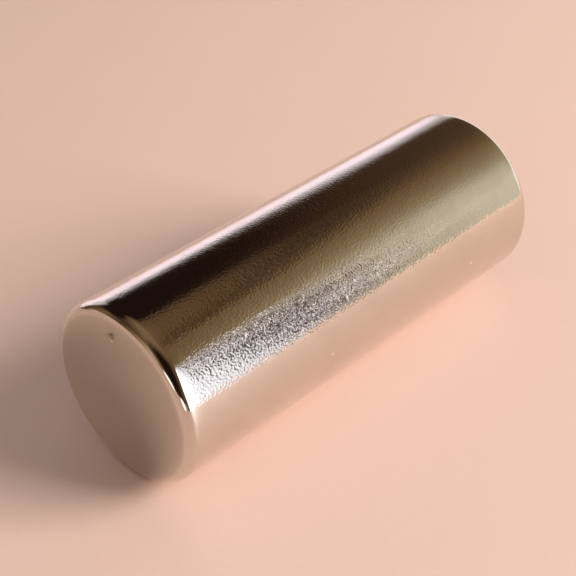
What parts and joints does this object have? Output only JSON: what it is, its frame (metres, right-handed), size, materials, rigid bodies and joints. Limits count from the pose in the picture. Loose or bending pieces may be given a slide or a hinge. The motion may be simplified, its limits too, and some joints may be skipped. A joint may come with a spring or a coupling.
{
  "type": "cylinder magnet",
  "caption": "Nickel-plated neodymium rod magnet: a plain round bar with flat pole faces and softly tumbled rims.",
  "frame": {"origin": "centre of the lower pole face, which the rod stands on", "axes": "+Z along the rod's axis, from the lower pole face to the upper one; the rod is round, so +X and +Y only fix the bearing of the small pit in the upper face"},
  "size_m": [0.0096, 0.0096, 0.0254],
  "materials": {
    "nickel_plating": "bright nickel, mirror-smooth on the pole faces and rims, with a very fine orange-peel grain on the barrel"
  },
  "bodies": {
    "root": {"magnet": "nickel_plating"}
  },
  "joints": []
}
